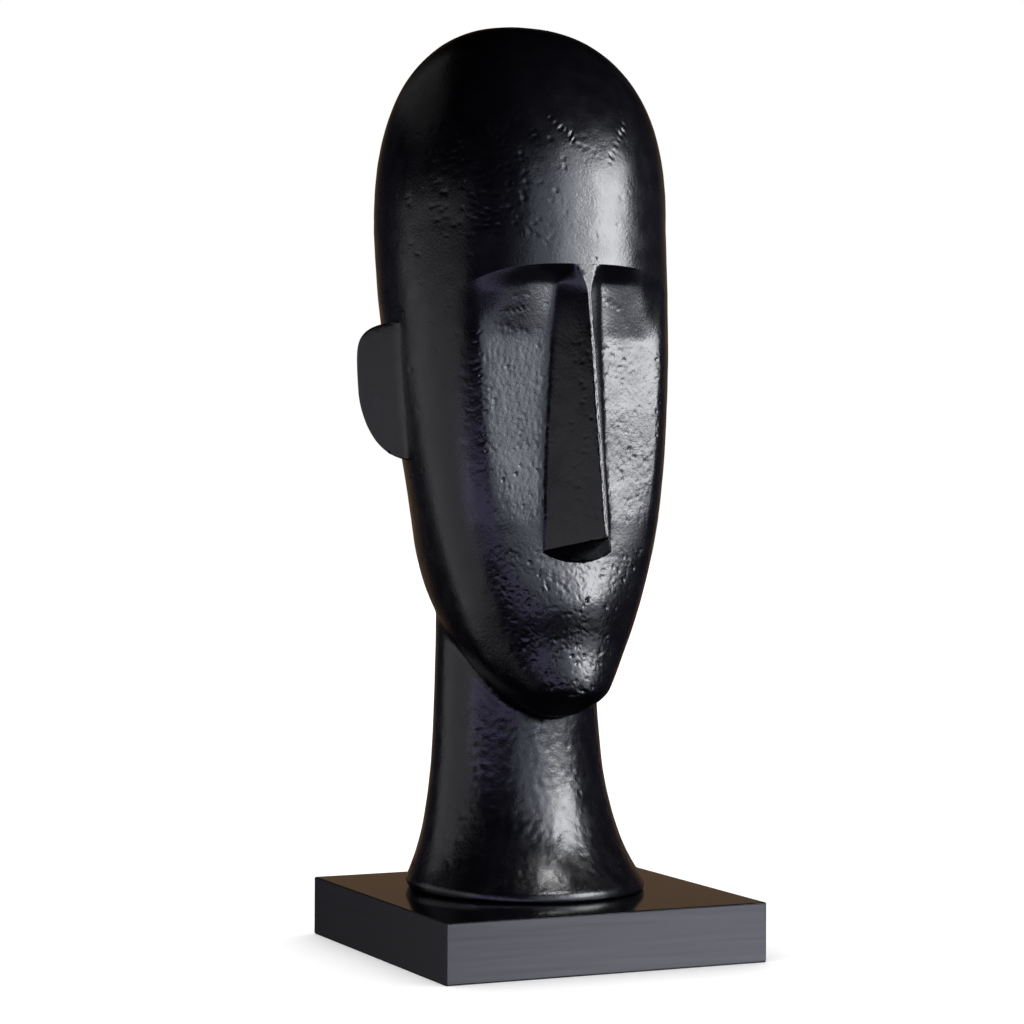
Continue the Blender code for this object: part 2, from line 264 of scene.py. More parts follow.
def level_rows():
    """Height, band and place in its band of each row, before the face moves the rows."""
    row = np.arange(sum(HEAD_ROWS) + 1)
    ends = np.cumsum((0,) + HEAD_ROWS)
    band = np.clip(np.searchsorted(ends, row, side="left") - 1, 0, len(HEAD_ROWS) - 1)
    t = (row - ends[band]) / np.array(HEAD_ROWS)[band]
    t = np.where(band == LEDGE, t ** CROWDING, t)
    round_top = mix(1.0 - np.cos(t * pi / 2), 0.5 - 0.5 * np.cos(t * pi), CROWN_ROW_EASE)
    eased = np.where(band == CROWN, round_top, t)
    eased = np.where(band == UNDER_CHIN, np.sin(t * pi / 2), eased)
    under_brow = (BROW_Z - LEDGE_HEIGHT, NOSE_TIP_Z, NOSE_BASE_Z)
    levels = np.array([CROWN_Z, BROW_Z, *under_brow, CHIN_EDGE_Z, HEAD_LOW_Z])
    return mix(levels[band], levels[band + 1], eased), band, t


def side_place(z, sill, aside):
    """Places round the side, from the rim of the panel at 0 to the widest line at 1."""
    half, front, _, middle, _ = egg_section(z)
    rim = front_x(np.full(z.shape, sum(FRONT_COLUMNS)), z) / np.maximum(half, TINY)
    angle = np.arccos(np.clip(rim, 0, 1) ** (FACE_SQUARENESS / 2)) * (1.0 - aside)
    x = half * np.cos(angle) ** (2 / FACE_SQUARENESS)
    y = mix(middle, front, np.sin(angle) ** (2 / FACE_SQUARENESS))
    return x, mix(face_y(x, z, sill), y, smooth(aside))


def nape_place(z, turn):
    """Places round the nape, from the widest line at 0 to the middle at a quarter turn."""
    half, _, back, middle, square = egg_section(z)
    x = half * np.maximum(np.cos(turn), 0.0) ** (2 / square)
    return x, mix(middle, back, np.sin(turn) ** (2 / square))


def head_grid():
    """Points of half of the head's skin, by row from the crown and by column from the face."""
    last = sum(FRONT_COLUMNS)
    level, band, t = level_rows()
    column, z = np.meshgrid(np.arange(last + SIDE_COLUMNS + NAPE_COLUMNS + 1), level)
    band = np.broadcast_to(band[:, None], z.shape)
    t = np.broadcast_to(t[:, None], z.shape)

    # The rows drop with the ledge at the panel's corner and with the underside of the nose,
    # and powers of t ease them back to level within each band
    aside = np.clip((column - last) / SIDE_COLUMNS, 0.0, 1.0)
    across = np.clip((column - FRONT_COLUMNS[0]) / FRONT_COLUMNS[1], 0.0, 1.0) ** CROWDING
    over_panel = np.clip(column / sum(FRONT_COLUMNS[:3]), 0.0, 1.0)
    corner = PANEL_CORNER_DROP * over_panel ** PANEL_CORNER_POWER * (1.0 - aside)
    tip = mix(NOSE_TIP_Z, NOSE_BASE_Z, across * (1.0 - aside))
    sag = UNDER_NOSE_STEP + UNDER_NOSE_SAG * (1.0 - across ** 2)
    lip = NOSE_BASE_Z - sag * (1.0 - aside)
    moved = {
        CROWN: z - corner * t ** 4,
        LEDGE: z - corner,
        PANELS: z - corner * (1.0 - smooth(t * 2.0)) - (NOSE_TIP_Z - tip) * t ** 3,
        UNDER_NOSE: mix(tip, lip, t),
        LOWER_FACE: z - (NOSE_BASE_Z - lip) * (1.0 - t) ** 2,
        UNDER_CHIN: z,
    }
    z = np.choose(band, [moved[k] for k in range(len(HEAD_ROWS))])
    sill = np.where(band == LEDGE, np.sin(t * pi / 2), (band > LEDGE).astype(float))

    front_column = np.minimum(column, last)
    x = front_x(front_column, z)
    y = face_y(x, z, sill)
    nosed = (column <= last) & ((band == LEDGE) | (band == PANELS))
    y = np.where(nosed, nosed_y(x, z, sill), y)
    under = (across < 1.0) & (band == UNDER_NOSE)
    tip_x = front_x(front_column, tip)
    one = np.ones_like(sill)
    y = np.where(under, mix(nosed_y(tip_x, tip, one), face_y(tip_x, lip, one), t), y)
    x = np.where(under, tip_x, x)

    side_x, side_y = side_place(z, sill, aside)
    turn = np.clip((column - last - SIDE_COLUMNS) / NAPE_COLUMNS, 0.0, 1.0) * pi / 2
    nape_x, nape_y = nape_place(z, turn)
    beyond = column > last + SIDE_COLUMNS
    x = np.where(beyond, nape_x, np.where(column > last, side_x, x))
    y = np.where(beyond, nape_y, np.where(column > last, side_y, y))
    return np.stack([x, y, z], -1)


def skin_from_rings(rings, top, low):
    """A closed skin over level rings of points, from the highest ring to the lowest."""
    count, around = rings.shape[:2]
    points = np.concatenate([rings.reshape(-1, 3), [top], [low]])
    index = np.arange(count * around).reshape(count, around)
    turned = np.roll(index, -1, axis=1)
    faces = np.stack([index[:-1], index[1:], turned[1:], turned[:-1]], -1).reshape(-1, 4).tolist()
    faces += [[count * around, index[0, k], turned[0, k]] for k in range(around)]
    faces += [[count * around + 1, turned[-1, k], index[-1, k]] for k in range(around)]
    mesh = bpy.data.meshes.new("skin")
    mesh.from_pydata(points.tolist(), [], faces)
    mesh.validate()
    bm = bmesh.new()
    bm.from_mesh(mesh)
    bmesh.ops.recalc_face_normals(bm, faces=bm.faces)
    bm.to_mesh(mesh)
    bm.free()
    return mesh


def add_piece(name, mesh):
    piece = bpy.data.objects.new(name, mesh)
    scene.collection.objects.link(piece)
    return piece


half_skin = head_grid()
other_half = half_skin[:, -2:0:-1] * np.array([-1.0, 1.0, 1.0])
rings = np.concatenate([half_skin, other_half], axis=1)
crown, low_end = rings[0, 0], rings[-1, 0]
head = add_piece("head_casting", skin_from_rings(rings[1:-1], crown, low_end))

# Neck and foot: a turned form, oval and leaned back, that rises into the head and flares out
# to a foot with a rounded lip
NECK_RADIUS = 0.0425
NECK_DEPTH_SHARE = 0.93
NECK_TOP_Z = SEAT + 0.1650
FOOT_Z = head_low.z
FOOT_RADIUS = 0.0630
FOOT_DEPTH_SHARE = 1.05
FOOT_LIP = 0.0045
FOOT_UNDERCUT = 0.0020
FLARE_HEIGHT = 0.0360
NECK_SET_BACK = 0.0262
FOOT_SET_BACK = 0.0105
LEAN_HEIGHT = 0.0400
NECK_COLUMNS = 260
NECK_ROWS = 110
LIP_ROWS = 8


def neck_rings():
    """Rings of the neck and foot: a turned profile made oval and leaned back."""
    up = mix(NECK_TOP_Z, FOOT_Z + FOOT_LIP, np.linspace(0.0, 1.0, NECK_ROWS + 1))
    flare = np.exp((FOOT_Z + FOOT_LIP - up) / FLARE_HEIGHT)
    radius = NECK_RADIUS + (FOOT_RADIUS - NECK_RADIUS) * flare
    turn = np.linspace(0.0, pi / 2, LIP_ROWS + 1)[1:]
    up = np.append(up, FOOT_Z + FOOT_LIP * (1.0 - np.sin(turn)))
    radius = np.append(radius, FOOT_RADIUS - FOOT_UNDERCUT * (1.0 - np.cos(turn)))
    round_about = np.linspace(0.0, 2 * pi, NECK_COLUMNS, endpoint=False)
    risen = 1.0 - np.exp((FOOT_Z - up) / LEAN_HEIGHT)
    share = mix(FOOT_DEPTH_SHARE, NECK_DEPTH_SHARE, risen)[:, None]
    middle = mix(FOOT_SET_BACK, NECK_SET_BACK, risen)[:, None]
    x = radius[:, None] * np.sin(round_about)
    y = middle - radius[:, None] * np.cos(round_about) * share
    return np.stack([x, y, np.broadcast_to(up[:, None], x.shape)], -1)


rings = neck_rings()
neck = add_piece("neck_form", skin_from_rings(rings, rings[0].mean(0), rings[-1].mean(0)))

# Ears: flat flaps that stand out from the sides and lean back
EAR_MIDDLE_Z = SEAT + 0.2627
EAR_HALF_HEIGHT = 0.0366
EAR_ROOT_DEPTH = 0.0085
EAR_ROOT_Y = 0.0020
EAR_STAND_OUT = 0.0139
EAR_TIP_Y = 0.0380
EAR_HALF_THICKNESS = 0.0034
EAR_DISH = 0.0024
EAR_TOP_CURVE = (6.0, 3.2)
EAR_LOW_CURVE = (1.8, 3.4)
EAR_COLUMNS = 72
EAR_ROWS = 64


def ear_mesh(side):
    """One ear: a flattened ball, tapered below and dished on its outer face."""
    bm = bmesh.new()
    bmesh.ops.create_uvsphere(bm, u_segments=EAR_COLUMNS, v_segments=EAR_ROWS, radius=1.0)
    for vert in bm.verts:
        thick, reach, up = vert.co
        width = max(1.0 - up * up, TINY) ** 0.5
        out = min(max(0.5 + 0.5 * reach / width, 0.0), 1.0)
        along = out * quarter(abs(up), EAR_TOP_CURVE if up > 0 else EAR_LOW_CURVE)
        dish = EAR_DISH * 4.0 * out * (1.0 - out) * (1.0 - up * up)
        z = EAR_MIDDLE_Z + EAR_HALF_HEIGHT * up
        flap = mix(-EAR_ROOT_DEPTH, EAR_STAND_OUT, along)
        x = egg_section(z)[0] + flap + EAR_HALF_THICKNESS * thick - dish
        vert.co = (side * x, mix(EAR_ROOT_Y, EAR_TIP_Y, along), z)
    if side < 0:
        bmesh.ops.reverse_faces(bm, faces=bm.faces)
    mesh = bpy.data.meshes.new("ear")
    bm.to_mesh(mesh)
    bm.free()
    return mesh


# Seams between the forms are softened within this reach, where the weight is worth it
SEAM_REACH = 0.0030
SEAM_SEARCH = 3 * SEAM_REACH
SEAM_PASSES = 24
SEAM_STRENGTH = 0.6
SEAM_LEAST = 0.001
MICRONS = 1e6


def points_of(mesh):
    points = np.empty(len(mesh.vertices) * 3)
    mesh.vertices.foreach_get("co", points)
    return points.reshape(-1, 3)


def tree_of(points):
    """A tree that finds the points near a place."""
    tree = KDTree(len(points))
    for k, point in enumerate(points):
        tree.insert(point, k)
    tree.balance()
    return tree


def soften_seam(mesh, seam):
    """Smooths the skin close to the points of a seam, as a maker fills a joint."""
    points = points_of(mesh)
    tree = tree_of(seam)
    low, high = np.min(seam, 0) - SEAM_SEARCH, np.max(seam, 0) + SEAM_SEARCH
    near = np.flatnonzero(np.all((points > low) & (points < high), 1))
    weight = np.zeros(len(points))
    weight[near] = [SEAM_STRENGTH * bell(tree.find(points[k])[2], SEAM_REACH) for k in near]
    ends = np.empty(len(mesh.edges) * 2, int)
    mesh.edges.foreach_get("vertices", ends)
    ends = ends.reshape(-1, 2)
    ends = ends[weight[ends].max(1) > SEAM_LEAST]
    one, two = np.concatenate([ends, ends[:, ::-1]]).T
    count = np.maximum(np.bincount(one, minlength=len(points)), 1)
    for _ in range(SEAM_PASSES):
        total = np.stack([np.bincount(one, points[two, k], len(points)) for k in range(3)], 1)
        points += weight[:, None] * (total / count[:, None] - points)
    mesh.vertices.foreach_set("co", points.ravel())
    mesh.update()


def cast_together(target, form):
    """Joins a form into the target as one closed skin with a soft seam, and drops the form."""
    old = np.concatenate([points_of(target.data), points_of(form.data)])
    union = target.modifiers.new("cast", "BOOLEAN")
    union.operation = "UNION"
    union.solver = "MANIFOLD"
    union.object = form
    graph = bpy.context.evaluated_depsgraph_get()
    target.data = bpy.data.meshes.new_from_object(target.evaluated_get(graph))
    target.modifiers.clear()
    bpy.data.objects.remove(form, do_unlink=True)
    known = {tuple(point) for point in np.round(old * MICRONS).astype(int)}
    new = points_of(target.data)
    keys = np.round(new * MICRONS).astype(int)
    soften_seam(target.data, [point for point, key in zip(new, keys) if tuple(key) not in known])


for form in (neck, add_piece("ear_form", ear_mesh(-1)), add_piece("ear_form", ear_mesh(1))):
    cast_together(head, form)

# Tool marks, in millimetres, each pressed into the skin with a low burr around it. A place is
# (across, up) on the front of the head, a tilt is in degrees from level, seen from outside,
# and a size is the mark's length, width and depth.
MM = 1000
rng = random.Random(11)
MARK_BURR = 0.7
# A mark ends at this many times its longer side, and fades over this depth, so that it
# doesn't reach through an ear
MARK_END = 2.6
MARK_THROUGH = 3.0
# Marks placed on the front are pressed from here
IN_FRONT = -300

# Rows of stitch-like cuts: first and last place, how many, tilt and size
STITCH_ROWS = [
    ((-17, 432), (-1, 417), 8, 55, (2.0, 0.75, 0.70)),
    ((-18, 429), (-9, 424), 3, 60, (1.2, 0.6, 0.35)),
    ((26, 431), (14, 411), 8, -50, (2.0, 0.75, 0.65)),
    ((25, 441), (26, 434), 3, -60, (1.3, 0.6, 0.40)),
    ((-27, 426), (-25, 419), 3, 35, (1.8, 0.7, 0.50)),
    ((-41, 333), (-28, 336), 6, -50, (1.9, 0.45, 0.34)),
    ((-35, 341), (-28, 343), 4, -55, (1.5, 0.45, 0.26)),
    ((-44, 327), (-28, 324), 6, 80, (1.8, 0.6, 0.35)),
    ((14, 341), (24, 336), 4, 50, (1.6, 0.7, 0.35)),
]
STITCH_SCALES = (0.75, 1.25)
STITCH_STRAY = 0.5
STITCH_SWING = 12

# Single marks: across, up, tilt and size
LONE_MARKS = [
    (-25, 435, 0, (0.9, 0.9, 0.5)), (-33, 410, 80, (1.0, 0.7, 0.4)),
    (-32, 404, 75, (1.7, 0.8, 0.5)), (-37, 398, 60, (1.2, 0.8, 0.4)),
    (-33, 392, 80, (1.4, 0.8, 0.5)), (-36, 389, 80, (1.2, 0.7, 0.4)),
    (-13, 411, 85, (1.1, 0.7, 0.4)), (-12, 407, 85, (1.6, 0.6, 0.5)),
    (-17, 395, 45, (1.2, 0.8, 0.6)), (-19, 390, 60, (1.4, 0.7, 0.4)),
    (20, 393, -60, (1.2, 0.8, 0.4)), (41, 400, 80, (1.2, 0.9, 0.4)),
    (-28, 378, 10, (1.0, 0.9, 0.6)), (-30, 374, -65, (2.6, 0.7, 0.5)),
    (-27, 372, -50, (2.4, 0.7, 0.5)), (-20, 371, 60, (2.0, 0.6, 0.4)),
    (-22, 368, -55, (3.4, 0.5, 0.4)), (5, 361, 20, (1.0, 0.7, 0.4)),
    (41, 358, 45, (2.2, 0.8, 0.6)), (46, 364, 60, (1.4, 0.7, 0.4)),
    (29, 310, -70, (1.4, 0.8, 0.4)), (28, 300, 60, (1.1, 0.8, 0.4)),
    (15, 272, 80, (1.3, 0.8, 0.5)), (32, 264, 30, (1.3, 0.8, 0.5)),
    (35, 260, -20, (1.3, 0.8, 0.5)), (-33, 251, 80, (1.1, 0.9, 0.6)),
    (-40, 248, 80, (1.1, 0.9, 0.6)), (-15, 197, -60, (2.4, 0.7, 0.5)),
    (-18, 193, -60, (2.2, 0.7, 0.6)), (-12, 195, -65, (2.6, 0.6, 0.5)),
    (3, 187, 40, (1.8, 0.8, 0.5)), (-5, 158, 0, (1.2, 0.9, 0.6)),
    (2, 158, -20, (1.1, 0.9, 0.6)), (0, 140, -10, (3.6, 0.9, 0.6)),
    (-11, 143, 20, (2.0, 0.9, 0.5)), (13, 96, -45, (1.6, 0.6, 0.7)),
    (16, 84, -30, (1.8, 0.6, 0.7)), (22, 102, -50, (1.8, 0.6, 0.6)),
]

# Zones of the scattered marks. Heights are the lowest, the highest and the soft edge. A spot
# is its middle and reach across the head. Facing is where the weight starts, as the share by
# which the skin looks forward, and how much more brings it to 1. A zone ends at its back.
FRONT_FACING = (0.55, 0.25)
CHEEK_HEIGHTS = (222, 322, 8)
LOWER_FACE_HEIGHTS = (128, 216, 8)
CHIN_HEIGHTS = (132, 176, 8)
CHIN_SPOT = (-4, 24)
FOREHEAD_HEIGHTS = (361, 440, 10)
TEMPLE_HEIGHTS = (366, 436, 12)
TEMPLE_SPOT = (-46, 16)
TEMPLE_BACK = 10
RIM_HEIGHTS = (246, 330, 10)
RIM_INSET = 1
RIM_REACH = 1.8
RIM_BACK = -25
NOSE_HEIGHTS = (222, 330, 8)
NOSE_SPOT = (0, 14)
NOSE_BACK = -58
NECK_HEIGHTS = (37, 140, 6)
NECK_FACING = (0.2, 0.4)
FOOT_HEIGHTS = (33, 58, 4)


def within(p, heights):
    """Weight 1 between two heights, easing to 0 outside them."""
    low, high, soft = heights
    return smooth((p[:, 2] - low) / soft) * smooth((high - p[:, 2]) / soft)


def facing(n, start, spread):
    """Weight 1 where the skin looks forward, easing to 0 where it turns away."""
    return smooth((-n[:, 1] - start) / spread)


def around(p, middle, reach):
    """Weight 1 on an upright line, falling away to both sides of it."""
    return bell(p[:, 0] - middle, reach)


# Each zone takes the skin's points p and the directions n that it looks in
def cheek_zone(p, n):
    return within(p, CHEEK_HEIGHTS) * facing(n, *FRONT_FACING)


def lower_face_zone(p, n):
    return within(p, LOWER_FACE_HEIGHTS) * facing(n, *FRONT_FACING)


def chin_zone(p, n):
    return within(p, CHIN_HEIGHTS) * facing(n, *FRONT_FACING) * around(p, *CHIN_SPOT)


def forehead_zone(p, n):
    return within(p, FOREHEAD_HEIGHTS) * facing(n, *FRONT_FACING)


def temple_zone(p, n):
    return within(p, TEMPLE_HEIGHTS) * around(p, *TEMPLE_SPOT) * (p[:, 1] < TEMPLE_BACK)


def rim_zone(p, n):
    edge = panel_edge(p[:, 2] / MM) * MM
    on_rim = bell(np.abs(p[:, 0]) - edge + RIM_INSET, RIM_REACH)
    return within(p, RIM_HEIGHTS) * on_rim * (p[:, 1] < RIM_BACK)


def nose_zone(p, n):
    return within(p, NOSE_HEIGHTS) * around(p, *NOSE_SPOT) * (p[:, 1] < NOSE_BACK)


def neck_zone(p, n):
    return within(p, NECK_HEIGHTS) * facing(n, *NECK_FACING)


def foot_zone(p, n):
    return within(p, FOOT_HEIGHTS)


def everywhere(p, n):
    return np.ones(len(p))


# Scattered marks: zone, count, tilt and its spread, and size
SCATTERED_MARKS = [
    (cheek_zone, 2400, 78, 25, (1.9, 0.55, 0.065)),
    (cheek_zone, 110, 70, 60, (1.0, 0.7, 0.22)),
    (lower_face_zone, 1300, -50, 60, (1.5, 0.75, 0.09)),
    (lower_face_zone, 90, -50, 60, (1.3, 0.8, 0.26)),
    (chin_zone, 70, -30, 70, (1.5, 0.9, 0.20)),
    (forehead_zone, 420, 80, 50, (1.6, 0.9, 0.05)),
    (temple_zone, 190, 60, 80, (0.9, 0.8, 0.36)),
    (nose_zone, 90, 70, 60, (1.5, 0.9, 0.16)),
    (rim_zone, 60, 70, 50, (1.1, 0.8, 0.26)),
    (neck_zone, 1100, 15, 50, (2.0, 0.9, 0.15)),
    (foot_zone, 160, 20, 60, (1.4, 0.8, 0.25)),
    (everywhere, 900, 0, 180, (1.8, 1.3, 0.09)),
    (everywhere, 170, 0, 180, (1.0, 0.9, 0.25)),
]
SCATTERED_SCALES = (0.6, 1.4)


def skin_shares(mesh):
    """How much of the skin each of its points stands for."""
    corners, areas = np.empty(len(mesh.loops), int), np.empty(len(mesh.polygons))
    sizes = np.empty(len(mesh.polygons), int)
    mesh.loops.foreach_get("vertex_index", corners)
    mesh.polygons.foreach_get("area", areas)
    mesh.polygons.foreach_get("loop_total", sizes)
    return np.bincount(corners, np.repeat(areas / sizes, sizes), len(mesh.vertices))


skin = head.data
shares = skin_shares(skin)
points = points_of(skin) * MM
outward = np.empty(len(points) * 3)
skin.vertex_normals.foreach_get("vector", outward)
outward = outward.reshape(-1, 3)
tree = tree_of(points)
pressed = np.zeros(len(points))


def press(place, normal, tilt, size):
    """Presses one mark into the skin, and raises a low burr around it."""
    length, width, depth = size
    near = np.array([k for _, k, _ in tree.find_range(place, MARK_END * max(length, width))])
    if len(near) == 0:
        return
    level_way = np.cross((0, 0, 1), normal)
    level_way /= max(np.linalg.norm(level_way), TINY)
    rising_way = np.cross(normal, level_way)
    along = level_way * cos(radians(tilt)) + rising_way * sin(radians(tilt))
    beside = np.cross(normal, along)
    away = points[near] - place
    far = ((away @ along) / length) ** 2 + ((away @ beside) / width) ** 2
    far += ((away @ normal) / MARK_THROUGH) ** 2
    pressed[near] += depth * (1.0 - MARK_BURR * far) * np.exp(-far)


def press_on_front(across, up, tilt, size):
    before = Vector((across, IN_FRONT, up)) / MM
    _, place, normal, _ = head.ray_cast(before, Vector((0, 1, 0)))
    press(np.array(place) * MM, np.array(normal), tilt, size)


for start, end, count, tilt, size in STITCH_ROWS:
    for k in range(count):
        t = k / (count - 1)
        scale = rng.uniform(*STITCH_SCALES)
        across = mix(start[0], end[0], t) + rng.uniform(-STITCH_STRAY, STITCH_STRAY)
        up = mix(start[1], end[1], t) + rng.uniform(-STITCH_STRAY, STITCH_STRAY)
        turned = tilt + rng.uniform(-STITCH_SWING, STITCH_SWING)
        press_on_front(across, up, turned, [part * scale for part in size])
for across, up, tilt, size in LONE_MARKS:
    press_on_front(across, up, tilt, size)
for where, count, tilt, spread, size in SCATTERED_MARKS:
    weight = np.cumsum(where(points, outward) * shares)
    for _ in range(count):
        k = min(int(np.searchsorted(weight, rng.random() * weight[-1])), len(points) - 1)
        scale = rng.uniform(*SCATTERED_SCALES)
        turned = tilt + rng.uniform(-spread, spread)
        press(points[k], outward[k], turned, [part * scale for part in size])

# The skin is a little uneven as well, by these heights over these wave lengths. The base of
# the foot stays flat, and the edge of the brow stays crisp.
UNEVEN = ((0.22, 28), (0.10, 9))
BASE_KEPT_FLAT = 2.0
BROW_EDGE_REACH = 2.5
BROW_KEPT_SHARE = 0.85
BROW_BACK = -20

rise = np.zeros(len(points))
for height, wave in UNEVEN:
    rise += [height * noise.noise(Vector(point) / wave) for point in points]
off_base = smooth((points[:, 2] - FOOT_Z * MM) / BASE_KEPT_FLAT)
over_panel = np.clip(np.abs(points[:, 0]) / MM / panel_edge(BROW_Z), 0.0, 1.0)
brow_z = BROW_Z - PANEL_CORNER_DROP * over_panel ** PANEL_CORNER_POWER
on_brow = bell(points[:, 2] - brow_z * MM, BROW_EDGE_REACH) * (points[:, 1] < BROW_BACK)
points += outward * ((rise - pressed * (1.0 - BROW_KEPT_SHARE * on_brow)) * off_base)[:, None]
skin.vertices.foreach_set("co", (points / MM).ravel())
skin.update()

# The skin is thinned to this many triangles, but not along the edge of the brow
MOST_TRIANGLES = 192000
BROW_EDGE_LEAST = 0.3

triangles = sum(len(face.vertices) - 2 for face in skin.polygons)
kept_fine = head.vertex_groups.new(name="brow_edge")
kept_fine.add(np.flatnonzero(on_brow > BROW_EDGE_LEAST).tolist(), 1.0, "REPLACE")
thin = head.modifiers.new("thin", "DECIMATE")
thin.vertex_group = kept_fine.name
thin.invert_vertex_group = True
thin.ratio = MOST_TRIANGLES / triangles
graph = bpy.context.evaluated_depsgraph_get()
head.data = bpy.data.meshes.new_from_object(head.evaluated_get(graph))
head.modifiers.clear()
head.vertex_groups.clear()
head.data.name = "head_casting"
for face in head.data.polygons:
    face.use_smooth = True


def linear(code):
    """Linear colour of an sRGB hex code such as 1a1a1c."""
    parts = [int(code[k:k + 2], 16) / 255 for k in (0, 2, 4)]
    lit = [p / 12.92 if p <= 0.04045 else ((p + 0.055) / 1.055) ** 2.4 for p in parts]
    return (*lit, 1.0)


def add_node(owner, kind, settings=None, links=None, **values):
    """A node with its settings, socket values, and links given as input: (node, output)."""
    node = owner.node_tree.nodes.new("ShaderNode" + kind)
    for name, value in (settings or {}).items():
        setattr(node, name, value)
    for name, value in values.items():
        node.inputs[name.replace("_", " ")].default_value = value
    for name, (source, output) in (links or {}).items():
        owner.node_tree.links.new(source.outputs[output], node.inputs[name])
    return node


def new_material(name):
    material = bpy.data.materials.new(name)
    material.use_nodes = True
    material.node_tree.nodes.clear()
    return material


# Cast resin under satin black paint: nearly black itself, so the eye sees its soft sheen. The
# sheen and the black change in patches that the brush left. The paint's own grain is too fine
# to show, so it is drawn coarser than it is. Sizes are in millimetres.
PAINT_DARK, PAINT_LIGHT = "050508", "09090c"
PAINT_IOR = 1.5
PAINT_ROUGHNESS = (0.21, 0.31)
PATCH_SIZE = 10.53
PATCH_RANGE = (0.3, 0.7)
PAINT_GRAIN = 1.429
PAINT_GRAIN_HEIGHT = 0.3
PAINT_GRAIN_STRENGTH = 0.35

casting = new_material("satin_black_painted_resin")
spot = {"Vector": (add_node(casting, "TexCoord"), "Object")}
grain = add_node(casting, "TexNoise", links=spot, Scale=MM / PAINT_GRAIN, Detail=3.0)
patches = add_node(casting, "TexNoise", links=spot, Scale=MM / PATCH_SIZE, Detail=5.0)
sheen = add_node(
    casting, "MapRange", links={"Value": (patches, "Fac")},
    From_Min=PATCH_RANGE[0], From_Max=PATCH_RANGE[1],
    To_Min=PAINT_ROUGHNESS[0], To_Max=PAINT_ROUGHNESS[1],
)
paint = add_node(casting, "ValToRGB", links={"Fac": (patches, "Fac")})
paint.color_ramp.elements[0].color = linear(PAINT_DARK)
paint.color_ramp.elements[1].color = linear(PAINT_LIGHT)
bump = add_node(
    casting, "Bump", links={"Height": (grain, "Fac")},
    Strength=PAINT_GRAIN_STRENGTH, Distance=PAINT_GRAIN_HEIGHT / MM,
)
shader = add_node(
    casting, "BsdfPrincipled",
    links={
        "Base Color": (paint, "Color"), "Roughness": (sheen, "Result"), "Normal": (bump, "Normal"),
    },
    IOR=PAINT_IOR,
)
add_node(casting, "OutputMaterial", links={"Surface": (shader, "BSDF")})
head.data.materials.clear()
head.data.materials.append(casting)
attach(head, "root")
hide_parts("head")


# Plinth: a square block of wood under black lacquer. Its top is polished and its sides are
# satin, and the head's foot stands on it.

PLINTH_ROUND = 0.0009
PLINTH_ROUND_STEPS = 4

bm = bmesh.new()
bmesh.ops.create_cube(bm, size=1.0)
for vert in bm.verts:
    vert.co = [mix(plinth_low[k], plinth_high[k], vert.co[k] + 0.5) for k in range(3)]
bmesh.ops.bevel(
    bm, geom=bm.edges[:], offset=PLINTH_ROUND, segments=PLINTH_ROUND_STEPS, profile=0.5,
    affect="EDGES",
)
block = bpy.data.meshes.new("plinth_block")
bm.to_mesh(block)
bm.free()
plinth = add_piece("plinth_block", block)

# Black lacquer over wood: the top is rubbed to a polish that mirrors the foot, and the sides
# keep a satin face with faint level brush lines, which are drawn wider than they are so that
# they show. Sizes are in millimetres.
LACQUER_DARK, LACQUER_LIGHT = "0d0d10", "1f1f24"
LACQUER_IOR = 1.5
POLISHED_ROUGHNESS = 0.09
BRUSHED_ROUGHNESS = (0.40, 0.54)
TOP_FROM, TOP_FULL = 0.60, 0.95
BRUSH_LINE_LENGTH = 83.3
BRUSH_LINE_WIDTH = 2.38
BRUSH_LINE_HEIGHT = 0.2
BRUSH_LINE_STRENGTH = 0.18

lacquer = new_material("black_lacquered_wood")
place = add_node(lacquer, "TexCoord")
outwards = add_node(lacquer, "SeparateXYZ", links={"Vector": (place, "Normal")})
upward = add_node(
    lacquer, "MapRange", links={"Value": (outwards, "Z")}, From_Min=TOP_FROM, From_Max=TOP_FULL,
)
across_lines = MM / BRUSH_LINE_WIDTH
along_lines = MM / BRUSH_LINE_LENGTH
stretch = add_node(
    lacquer, "Mapping", links={"Vector": (place, "Object")},
    Scale=(along_lines, along_lines, across_lines),
)
lines = add_node(
    lacquer, "TexNoise", links={"Vector": (stretch, "Vector")}, Scale=1.0, Detail=4.0,
)
satin = add_node(
    lacquer, "MapRange", links={"Value": (lines, "Fac")},
    To_Min=BRUSHED_ROUGHNESS[0], To_Max=BRUSHED_ROUGHNESS[1],
)
sheen = add_node(
    lacquer, "Mix", {"data_type": "FLOAT"},
    {"Factor": (upward, "Result"), "A": (satin, "Result")}, B=POLISHED_ROUGHNESS,
)
tone = add_node(lacquer, "ValToRGB", links={"Fac": (lines, "Fac")})
tone.color_ramp.elements[0].color = linear(LACQUER_DARK)
tone.color_ramp.elements[1].color = linear(LACQUER_LIGHT)
bump = add_node(
    lacquer, "Bump", links={"Height": (lines, "Fac")},
    Strength=BRUSH_LINE_STRENGTH, Distance=BRUSH_LINE_HEIGHT / MM,
)
shader = add_node(
    lacquer, "BsdfPrincipled",
    links={
        "Base Color": (tone, "Color"), "Roughness": (sheen, "Result"), "Normal": (bump, "Normal"),
    },
    IOR=LACQUER_IOR,
)
add_node(lacquer, "OutputMaterial", links={"Surface": (shader, "BSDF")})
block.materials.append(lacquer)
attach(plinth, "root")
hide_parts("plinth")


# Camera: at the photograph's angle, from the front left and a little above the plinth,
# with a long lens.

CAMERA_PLACE = Vector((-0.6755, -1.4338, 0.2577))
CAMERA_TURN = radians(24.77)
CAMERA_PITCH = radians(-0.98)
CAMERA_ROLL = radians(0.24)
CAMERA_LENS = 105.5
CAMERA_SENSOR = 36.0

